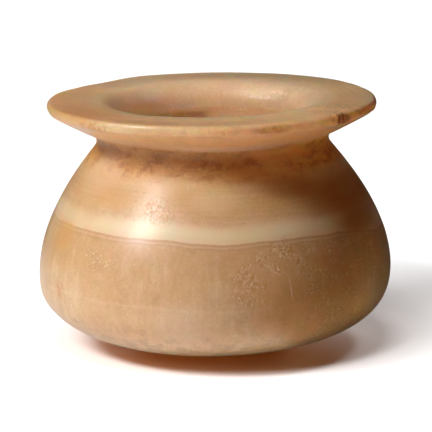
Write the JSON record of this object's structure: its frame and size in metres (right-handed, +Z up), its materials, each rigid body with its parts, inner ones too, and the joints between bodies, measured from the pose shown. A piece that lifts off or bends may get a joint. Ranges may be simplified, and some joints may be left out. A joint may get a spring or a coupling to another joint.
{
  "type": "alabaster vessel",
  "caption": "Squat hollow stone jar with a broad flat disc rim, grooved neck, sloping shoulder and low full belly; it stands on a small flat under its domed base.",
  "frame": {"origin": "middle of the underside, on the surface the jar stands on", "axes": "+Z up; the jar leans by 0.95 degrees towards -X; the side with the long scratches faces -Y"},
  "size_m": [0.1161, 0.116, 0.0847],
  "materials": {
    "travertine": "honey and tan banded calcite, slightly translucent, worn to a low polish, with stains, pits and scratches"
  },
  "bodies": {
    "root": {"vessel": "travertine"}
  },
  "joints": []
}
